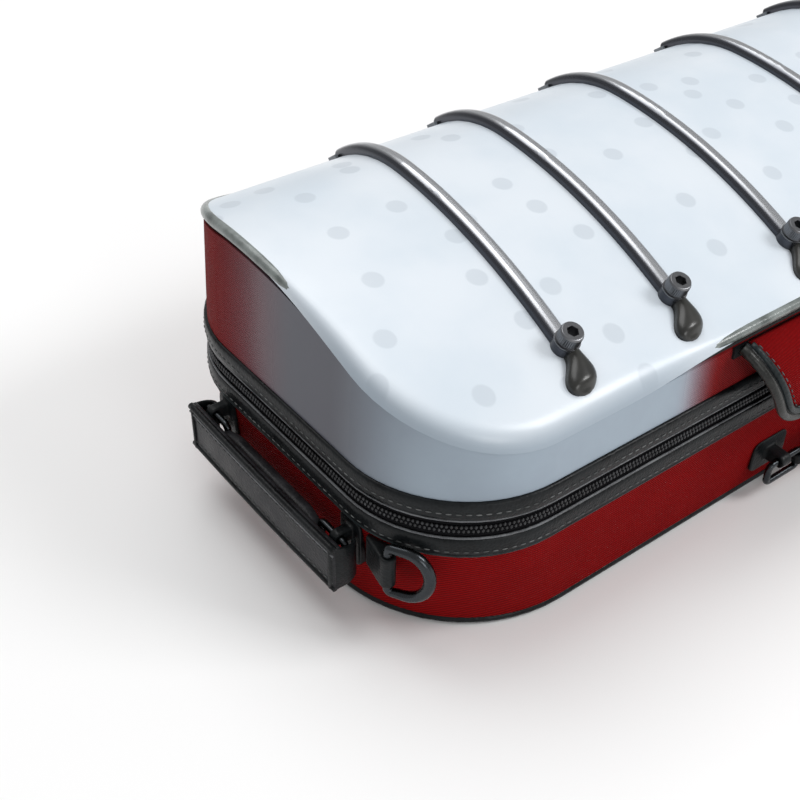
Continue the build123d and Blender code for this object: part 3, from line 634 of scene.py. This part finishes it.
def hard_top():
    """The top panel's skin: a soft fillet out of the wall, then rings in to the middle line. It also returns
    a painted shade share per point, which greys the soft fillet round the front left corner.
    """
    edge = top_edge()
    low = top_edge(drop_fillet=True)
    rings, shade_marks = [], []
    for t in (0, 0.12, 0.25, 0.38, 0.5, 0.62, 0.74, 0.86, 1.0):
        ring = []
        for (b1, out, up), (b0, _, _) in zip(edge, low):
            inner = b1 - out * fillet(b1.x, b1.y)
            b2 = Vector((inner.x, inner.y, arch_z(inner.y)))
            point = b0 * (1 - t) ** 2 + b1 * (2 * t * (1 - t)) + b2 * t * t
            ring.append(point + out * (SKIN * (1 - t)) + up * (SKIN * t))
        rings.append(ring)
        # Painted shade share: full at the foot of the soft fillet, fading out up it.
        shade_marks.append([(1 - ease(t * 1.15)) * softness(p.x, p.y) for p in ring])
    for inset in (16, 24, 34, 46, 58):
        ring = []
        for b1, out, up in edge:
            p = b1 - out * inset
            ring.append(Vector((p.x, p.y, arch_z(p.y) + SKIN)))
        rings.append(ring)
        shade_marks.append([0.0] * len(edge))
    reach_x = HALF_L - HALF_W
    for k in range(1, 11):
        ring = []
        for p in rings[len(rings) - k]:
            middle = Vector((min(max(p.x, -reach_x), reach_x), 0, 0))
            q = p.lerp(middle, k / 10)
            ring.append(Vector((q.x, q.y, arch_z(q.y) + SKIN)))
        rings.append(ring)
        shade_marks.append([0.0] * len(edge))
    count = len(edge)
    points = [p for ring in rings for p in ring]
    faces = []
    for i in range(len(rings) - 1):
        for k in range(count):
            m = (k + 1) % count
            faces.append((i * count + k, i * count + m, (i + 1) * count + m, (i + 1) * count + k))
    return points, faces, [mark for ring_shade_marks in shade_marks for mark in ring_shade_marks]


top_points, top_faces, top_shade_marks = hard_top()
top_skin = place("lid_hard_top", top_points, top_faces, top_net.material, "lid", "hard_top",
                 replaced=["lid_top_panel", "lid_piping"])
# Painted shade share per point, read by the top's material.
fillet_shade_layer = top_skin.data.attributes.new("fillet_shade_share", "FLOAT", "POINT")
fillet_shade_layer.data.foreach_set("value", top_shade_marks)
cord_stations, cord_radii = [], []
for p, out, up in top_edge(2.4, 1.6):
    sunk = softness(p.x, p.y)
    cord_stations.append(p - out * (5.0 * sunk) - up * (4.5 * sunk))
    cord_radii.append(3.1 - 1.6 * sunk)
place("lid_piping_cord", *tube_points(cord_stations, cord_radii, 12, True), pipe_net.material, "lid",
      "piping_grey")
foot_loop = []
for x, y, nx, ny in plan_loop(5.6, corner_r=FLOOR_CORNER_R + 4):
    foot_loop.append((Vector((x, y, 2.5)), Vector((nx, ny, 0)), Vector((0, 0, 1))))
place("base_piping_cord", *sweep(foot_loop, circle(2.5, 12), True), leather_black, "base",
      "piping_black", replaced=["base_piping"])

# --- Rib screws and pads -------------------------------------------------------------------------
HEAD_R, HEAD_H, HEAD_LIFT, HEX_R, HEX_DEPTH = 6.3, 8.0, 6.0, 3.3, 4.5


def hexagon(angle):
    """Distance from the middle to a hexagon's side at an angle."""
    sixth = pi / 3
    return HEX_R * cos(sixth / 2) / cos(angle % sixth - sixth / 2)


def screw_head(x):
    """Knurled socket head on a washer."""
    origin, normal, rear = arch_frame(x, SCREW_Y, HEAD_LIFT)
    side = Vector((1, 0, 0))
    count = 72
    rows = [(0.0, 6.9, 0), (0.7, 6.9, 0), (0.75, 5.9, 0), (1.2, 6.0, 0), (1.6, HEAD_R, 1), (6.6, HEAD_R, 1)]
    rows += [(7.1, 6.1, 0), (HEAD_H - 0.1, 5.7, 0), (HEAD_H, 5.4, 0)]
    points, faces = [], []
    for height, radius, knurled in rows:
        for k in range(count):
            angle = 2 * pi * k / count
            r = radius - (0.38 if knurled and k % 2 else 0)
            points.append(origin + normal * height + side * (r * cos(angle)) + rear * (r * sin(angle)))
    for height, share_hex in ((HEAD_H, 1.06), (HEAD_H - 0.25, 1.0), (HEAD_H - HEX_DEPTH, 1.0)):
        for k in range(count):
            angle = 2 * pi * k / count
            r = hexagon(angle) * share_hex
            points.append(origin + normal * height + side * (r * cos(angle)) + rear * (r * sin(angle)))
    levels = len(rows) + 3
    for i in range(levels - 1):
        for k in range(count):
            m = (k + 1) % count
            faces.append((i * count + k, i * count + m, (i + 1) * count + m, (i + 1) * count + k))
    faces.append(tuple(range((levels - 1) * count, levels * count)))
    faces.append(tuple(range(count)))
    return points, faces


screws = place("rib_screw_heads", *merged([screw_head(x) for x in SCREWS]), screw_steel, "lid",
               "steel_bright", replaced=["rib_screws"])
for polygon in screws.data.polygons:
    polygon.use_smooth = False


def rib_pad(x):
    """Spoon-shaped rubber pad in front of a screw, lying on the arch."""
    points, faces = [], []
    rows, around = 18, 18
    for i in range(rows):
        t = i / (rows - 1)
        reach = 5.0 + 20.0 * t
        if t < 0.62:
            half = 4.3 + 5.2 * ease(t / 0.62)
        else:
            half = 9.5 * sqrt(max(1 - ((t - 0.62) / 0.385) ** 2, 0.0)) + 0.02
        height = (6.6 - 1.0 * t) * (1 - 0.75 * ease((t - 0.72) / 0.28))
        lean = -6.0 * ease(t)
        base, normal, rear = arch_frame(x + lean, SCREW_Y - reach, 0.35)
        for k in range(around):
            angle = 2 * pi * k / around
            across = half * cos(angle)
            rise = height * max(sin(angle), 0) ** 0.75
            points.append(base + Vector((across, 0, 0)) + normal * rise)
    for i in range(rows - 1):
        for k in range(around):
            m = (k + 1) % around
            faces.append((i * around + k, i * around + m, (i + 1) * around + m, (i + 1) * around + k))
    faces.append(tuple(range(around)))
    faces.append(tuple(range((rows - 1) * around, rows * around)))
    return points, faces


place("rib_rubber_pads", *merged([rib_pad(x) for x in SCREWS]), rubber, "lid", "rubber_grey",
      replaced=["rib_pads"])

# --- Front flap ----------------------------------------------------------------------------------
FLAP_TOP_Z, FLAP_FOOT_Z = 128, 71
FLAP_TOP_HALF, FLAP_FOOT_HALF, FLAP_CORNER = 208, 172, 20


def arc3(a, b, c, t):
    """Quadratic through three (y, z) points at t 0 to 1."""
    k0 = 2 * (t - 0.5) * (t - 1)
    k1 = -4 * t * (t - 1)
    k2 = 2 * t * (t - 0.5)
    return tuple(a[i] * k0 + b[i] * k1 + c[i] * k2 for i in (0, 1))


def flap_side(t):
    """Outer face (y, z) of the flap, t from its root to its foot."""
    if t < 0.55:
        return arc3((-133, 128), (-146.5, 115), (-151.5, 97), t / 0.55)
    return arc3((-151.5, 97), (-151.2, 84), (-148.5, 71), (t - 0.55) / 0.45)


def flap_y(z):
    low, high = 0.0, 1.0
    for _ in range(24):
        middle = (low + high) / 2
        if flap_side(middle)[1] > z:
            low = middle
        else:
            high = middle
    return flap_side(low)[0]


def flap_half(z, trim):
    """Half-width of the flap at height z, less a trim all round, with rounded lower corners."""
    slope = (FLAP_TOP_HALF - FLAP_FOOT_HALF) / (FLAP_TOP_Z + 10 - FLAP_FOOT_Z)
    half = FLAP_FOOT_HALF + slope * (z - FLAP_FOOT_Z) - trim
    r = max(FLAP_CORNER - trim, 5)
    up = z - (FLAP_FOOT_Z + trim)
    if up < r:
        half -= r - sqrt(max(r * r - (r - up) ** 2, 0))
    return half


def flap_edge(trim, lift, top=FLAP_TOP_Z):
    """Path of the flap's edge from its upper left round the foot to its upper right."""
    foot = FLAP_FOOT_Z + trim
    r = max(FLAP_CORNER - trim, 5)
    heights = [foot + r * (1 - cos(radians(90 * k / 10))) for k in range(11)]
    heights += [foot + r + (top - foot - r) * k / 14 for k in range(1, 15)]
    left = [Vector((-flap_half(z, trim), flap_y(z) - lift, z)) for z in reversed(heights)]
    right = [Vector((-p.x, p.y, p.z)) for p in reversed(left)]
    half = flap_half(foot, trim)
    middle = [Vector((-half + 2 * half * k / 30, flap_y(foot) - lift, foot)) for k in range(1, 30)]
    return left + middle + right


def flap_sheet(trim, thickness, puff, rows=26, columns=70):
    """Closed panel between the flap's trims, its outer face crowned by puff."""
    points, faces = [], []
    foot = FLAP_FOOT_Z + trim
    for layer in (0, 1):
        for i in range(rows + 1):
            v = i / rows
            z = foot + (FLAP_TOP_Z - foot) * v
            y = flap_y(z)
            half = flap_half(z, trim)
            for j in range(columns + 1):
                u = 2 * j / columns - 1
                crown = puff * (1 - u**6) * min(1, 3.2 * v * (1.12 - v)) ** 0.8
                points.append(Vector((u * half, y - crown if layer == 0 else y + thickness, z)))
    wide = columns + 1
    layer_size = (rows + 1) * wide
    for layer in (0, 1):
        for i in range(rows):
            for j in range(columns):
                a = layer * layer_size + i * wide + j
                faces.append((a, a + 1, a + wide + 1, a + wide))
    border = [j for j in range(columns)] + [i * wide + columns for i in range(rows)]
    border += [rows * wide + j for j in range(columns, 0, -1)] + [i * wide for i in range(rows, 0, -1)]
    for a, b in zip(border, border[1:] + border[:1]):
        faces.append((a, b, b + layer_size, a + layer_size))
    return points, faces


def inflate(piece, voxel, pressure, cap, frames=20):
    """Crowns a closed pad with a short cloth run, capped, applied and smoothed."""
    remesh = piece.modifiers.new("remesh", "REMESH")
    remesh.mode = "VOXEL"
    remesh.voxel_size = voxel * MM
    settle(piece)
    start = [v.co.copy() for v in piece.data.vertices]
    scene = bpy.context.scene
    cloth = piece.modifiers.new("cloth", "CLOTH")
    cloth.settings.use_pressure = True
    cloth.settings.uniform_pressure_force = pressure
    cloth.settings.effector_weights.gravity = 0
    cloth.settings.quality = 4
    cloth.point_cache.frame_start = 1
    cloth.point_cache.frame_end = frames
    for step in range(1, frames + 1):
        scene.frame_set(step)
    blown = evaluated(piece)
    piece.modifiers.clear()
    for vertex, home, now in zip(piece.data.vertices, start, blown.vertices):
        move = now.co - home
        if move.length > cap * MM:
            move.length = cap * MM
        vertex.co = home + move
    bpy.data.meshes.remove(blown)
    scene.frame_set(1)
    smooth = piece.modifiers.new("smooth", "SMOOTH")
    smooth.iterations = 3
    finer = piece.modifiers.new("finer", "SUBSURF")
    finer.levels = 1
    finer.render_levels = 1
    settle(piece)
    piece.data.shade_smooth()
    return piece


flap = place("flap_canvas_pad", *flap_sheet(9.5, 2.2, 2.4), canvas_red, "flap", "canvas_red",
             replaced=["flap_panel", "flap_binding"])
place("flap_outer_bead", *tube_points(flap_edge(2.2, 0.6), 2.7, 12), leather_bead, "flap", "leather_teal")
place("flap_inner_bead", *tube_points(flap_edge(8.6, 1.0), 2.3, 12), leather_teal, "flap", "leather_teal")
place("flap_groove", *tube_points(flap_edge(5.4, -0.6), 2.2, 10), leather_black, "flap", "leather_teal")
flap_stitch_path = flap_edge(12.2, 2.3)
flap_stations = [(p, Vector((0, -1, 0)), Vector((0, 0, 1))) for p in flap_stitch_path]
flap_spots = []
for p, out, up, along in spaced(flap_stations, STITCH_PITCH):
    flap_spots.append((p, out, out.cross(along).normalized(), along))
place("flap_stitches", *stamped(bead(3.0, 0.8, 0.8), flap_spots, 0.1), thread_dark, "flap", "leather_teal")

# --- Carrying handle -----------------------------------------------------------------------------
grip_low, grip_high = (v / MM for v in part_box("handle_grip"))
GRIP_Y, GRIP_Z = (grip_low.y + grip_high.y) / 2, (grip_low.z + grip_high.z) / 2


def rounded_section(half_out, half_up, r, count=5):
    """Rounded rectangle section, centred."""
    section = []
    for cx, cy, first in ((1, 1, 0), (-1, 1, 90), (-1, -1, 180), (1, -1, 270)):
        for k in range(count):
            angle = radians(first + 90 * k / (count - 1))
            section.append((cx * (half_out - r) + r * cos(angle), cy * (half_up - r) + r * sin(angle)))
    return section


def grip_bar(half_length, half_out, half_up, center, axis, end_share=0.62, rows=40):
    """Leather roll along an axis, thinner where it runs into its ends."""
    points, faces = [], []
    out = Vector((0, -1, 0)) if axis == 0 else Vector((-1, 0, 0))
    up = Vector((0, 0, 1))
    count = 0
    for i in range(rows + 1):
        t = 2 * i / rows - 1
        share_now = 1 - (1 - end_share) * ease((abs(t) - 0.72) / 0.28)
        along = Vector((1, 0, 0)) if axis == 0 else Vector((0, 1, 0))
        middle = center + along * (t * half_length)
        roundness = min(half_out, half_up) * 0.8 * share_now
        section = rounded_section(half_out * share_now, half_up * share_now, roundness)
        count = len(section)
        points.extend(middle + out * o + up * u for o, u in section)
    for i in range(rows):
        for k in range(count):
            m = (k + 1) % count
            faces.append((i * count + k, (i + 1) * count + k, (i + 1) * count + m, i * count + m))
    faces.append(tuple(range(count)))
    faces.append(tuple(range(rows * count, (rows + 1) * count)))
    return points, faces


grip_center = Vector((0, GRIP_Y, GRIP_Z))
half_grip = grip_high.x - 12
place("handle_leather_roll", *grip_bar(half_grip, 6.2, 8.6, grip_center, 0), leather_teal, "handle",
      "leather_teal", replaced=["handle_grip"])
ends = []
for way in (-1, 1):
    eye = Vector((way * (grip_high.x - 4.6), GRIP_Y, GRIP_Z))
    loop = [eye + Vector((3.4 * cos(a), 3.4 * sin(a), 0)) for a in [2 * pi * k / 16 for k in range(16)]]
    ends.append(tube_points(loop, 1.1, 8, True))
    band = [eye + Vector((3.3 * cos(a), 3.3 * sin(a), 0)) for a in [2 * pi * k / 20 for k in range(20)]]
    stations = [(p, (p - eye).normalized(), Vector((0, 0, 1))) for p in band]
    ends.append(sweep(stations, rounded_section(1.0, 3.2, 0.8, 4), True))
    neck = eye - Vector((way * 9, 0, 0))
    ends.append(grip_bar(8, 3.6, 5.0, neck, 0, 0.8, 8))
place("handle_leather_ends", *merged(ends), leather_black, "handle", "leather_teal")
seam = []
for z_side in (-1, 1):
    line = [(Vector((x, GRIP_Y - 6.1, GRIP_Z + z_side * 4.2)), Vector((0, -1, 0)), Vector((0, 0, 1)))
            for x in range(-92, 93, 4)]
    seam.append(stamped(stitch, spaced(line, STITCH_PITCH), 0.05))
place("handle_stitches", *merged(seam), thread_dark, "handle", "leather_teal")

# --- End handle ----------------------------------------------------------------------------------
end_low, end_high = (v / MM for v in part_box("end_handle_grip"))
END_X, END_Z = end_low.x + 3.2, (end_low.z + end_high.z) / 2
END_HALF = end_high.y
strap_stations = []
for k in range(37):
    t = 2 * k / 36 - 1
    bow = 0.9 * (1 - t * t)
    strap_stations.append((Vector((END_X - bow, t * END_HALF, END_Z)), Vector((-1, 0, 0)), Vector((0, 0, 1))))
strap_shape = [(out + 0.35, up) for out, up in rounded_section(2.65, 15.0, 2.3)]
end_core = grip_bar(46, 4.2, 12.0, Vector((END_X + 5.4, 0, END_Z)), 1, 0.75, 24)
place("end_handle_strap", *merged([sweep(strap_stations, strap_shape), end_core]), leather_grey, "end_handle",
      "leather_grey", replaced=["end_handle_grip"])
rolls = []
for z_side in (-1, 1):
    rolls.append([p + Vector((-2.2, 0, z_side * 13.8)) for p, _, _ in strap_stations])
place("end_handle_top_roll", *tube_points(rolls[1], 2.1, 10), leather_black, "end_handle", "leather_grey")
place("end_handle_foot_roll", *tube_points(rolls[0], 1.9, 10), leather_black, "end_handle", "leather_grey")
line_path = [p + Vector((-3.1, 0, 10.4)) for p, _, _ in strap_stations]
place("end_handle_pale_line", *tube_points(line_path, 0.8, 8), leather_line, "end_handle", "leather_grey")
rows_of_stitches = []
for lift in (-10.0, 7.6):
    line = [(p + Vector((-3.0, 0, lift)), out, up) for p, out, up in strap_stations]
    rows_of_stitches.append(stamped(stitch, spaced(line, STITCH_PITCH), 0.1))
place("end_handle_stitches", *merged(rows_of_stitches), thread, "end_handle", "leather_grey")
folds = []
for way in (-1, 1):
    cap = []
    for k in range(15):
        a = radians(15 * k - 15)
        across = Vector((END_X + 4.4 - 7.6 * cos(a), way * (END_HALF - 3.2 + 3.6 * sin(a)), END_Z))
        facing = Vector((-cos(a), way * sin(a) * 0.9, 0)).normalized()
        cap.append((across, facing, Vector((0, 0, 1 - 0.25 * ease(k / 14)))))
    folds.append(sweep(cap, rounded_section(1.0, 15.4, 0.7, 3)))
place("end_handle_folds", *merged(folds), leather_black, "end_handle", "leather_grey")

# --- Strap rings ---------------------------------------------------------------------------------
RING_ANGLE, TIP_ANGLE, RING_STAND = radians(25), radians(47), 7.5
RING_Z = 52
corner_x, corner_y = HALF_L - CORNER_R, -(HALF_W - CORNER_R)
reach = CORNER_R + RING_STAND
bar = Vector((corner_x + reach * cos(RING_ANGLE), corner_y - reach * sin(RING_ANGLE), RING_Z))
tip = Vector((corner_x + (reach + 2) * cos(TIP_ANGLE), corner_y - (reach + 2) * sin(TIP_ANGLE), RING_Z))
ring_run = (tip - bar).normalized()
for side_name, way in (("left", -1), ("right", 1)):
    body = f"strap_ring_{side_name}"
    run = Vector((way * ring_run.x, ring_run.y, 0))
    foot = Vector((way * bar.x, bar.y, bar.z))
    outline = []
    for middle, reach_out, reach_up, lift, first in (
        (9.5, 13.2, 15.6, 0, -90), (3.0, 3.0, 3.0, 12.6, 90), (3.0, 3.0, 3.0, -12.6, 180)
    ):
        sweep_angle = 180 if first < 0 else 90
        for k in range(15):
            angle = radians(first + sweep_angle * k / 14)
            rise = Vector((0, 0, lift + reach_up * sin(angle)))
            outline.append(foot + run * (middle + reach_out * cos(angle)) + rise)
    wire_radii = [2.5 + 0.9 * max((p - foot).dot(run), 0) / 22.7 for p in outline]
    place(f"{body}_wire", *tube_points(outline, wire_radii, 14, True), gunmetal, body, "steel_dark",
          replaced=[body])
    soften(f"strap_tab_{side_name}", leather_black, "base", 0.7, 14)
soften("handle_lugs", leather_black, "base", 0.7, 8)
soften("end_handle_lugs", leather_black, "base", 0.7, 8)

# --- Inside --------------------------------------------------------------------------------------
soften("well_block", plush_wine, "base", 2.6, 9)
soften("accessory_box", plush_wine, "base", 1.2, 5)
soften("neck_cradle", plush_wine, "base", 1.3, 10)
soften("accessory_lid", plush_dark, "accessory_lid", 0.9, 4)
soften("bow_blocks", plush_wine, "lid", 1.0, 6)
soften("bow_tip_pockets", plush_wine, "lid", 1.0, 6)
cushion_parts = soften("well_cushions", plush_wine, "base", 3.0, 4)
inflate(cushion_parts, 4.5, 4, 3)
cushion_parts.data.materials.clear()
cushion_parts.data.materials.append(plush_wine)

# --- Stage ---------------------------------------------------------------------------------------
floor_mesh = bpy.data.meshes.new("floor")
floor_half = 6.0
floor_ways = ((-1, -1), (1, -1), (1, 1), (-1, 1))
floor_corners = [(way_x * floor_half, way_y * floor_half, 0) for way_x, way_y in floor_ways]
floor_mesh.from_pydata(floor_corners, [], [(0, 1, 2, 3)])
floor = bpy.data.objects.new("floor", floor_mesh)
bpy.context.scene.collection.objects.link(floor)
floor_net = Net("floor_pale", roughness=0.9, color=(0.92, 0.92, 0.92, 1))
floor_mesh.materials.append(floor_net.material)
floor.location.z = -0.0005


def area_light(name, spot, target, size_m, energy, color=(1, 1, 1)):
    light = bpy.data.lights.new(name, "AREA")
    light.energy = energy
    light.size = size_m
    light.color = color
    lamp = bpy.data.objects.new(name, light)
    lamp.location = spot
    lamp.rotation_euler = (Vector(target) - Vector(spot)).to_track_quat("-Z", "Y").to_euler()
    bpy.context.scene.collection.objects.link(lamp)


area_light("key", (1.3, -1.5, 2.0), (0, 0, 0.1), 1.0, 32)
area_light("top", (-0.1, 1.0, 2.4), (0, 0, 0.1), 2.0, 34)
area_light("front", (-0.6, -2.6, 0.9), (-0.2, 0, 0.1), 1.0, 12)

world = bpy.data.worlds.new("studio")
bpy.context.scene.world = world
world.use_nodes = True
world.node_tree.nodes["Background"].inputs["Color"].default_value = (1, 1, 1, 1)
world.node_tree.nodes["Background"].inputs["Strength"].default_value = 0.48
bpy.context.scene.view_settings.view_transform = "Standard"

YAW, PITCH, ROLL = 0.663498, 0.677301, 0.0215469
forward = Vector((sin(YAW) * cos(PITCH), cos(YAW) * cos(PITCH), -sin(PITCH)))
level = Vector((cos(YAW), -sin(YAW), 0))
upright = level.cross(forward)
right = level * cos(ROLL) + upright * sin(ROLL)
above = upright * cos(ROLL) - level * sin(ROLL)
camera_data = bpy.data.cameras.new("camera")
camera_data.lens = 54.85
camera_data.sensor_width = 36
camera_data.clip_end = 50
camera = bpy.data.objects.new("camera", camera_data)
bpy.context.scene.collection.objects.link(camera)
spot = Vector((-657.67, -429.41, 502.55)) * MM
camera.matrix_world = Matrix(
    (
        (right.x, above.x, -forward.x, spot.x),
        (right.y, above.y, -forward.y, spot.y),
        (right.z, above.z, -forward.z, spot.z),
        (0, 0, 0, 1),
    )
)
bpy.context.scene.camera = camera
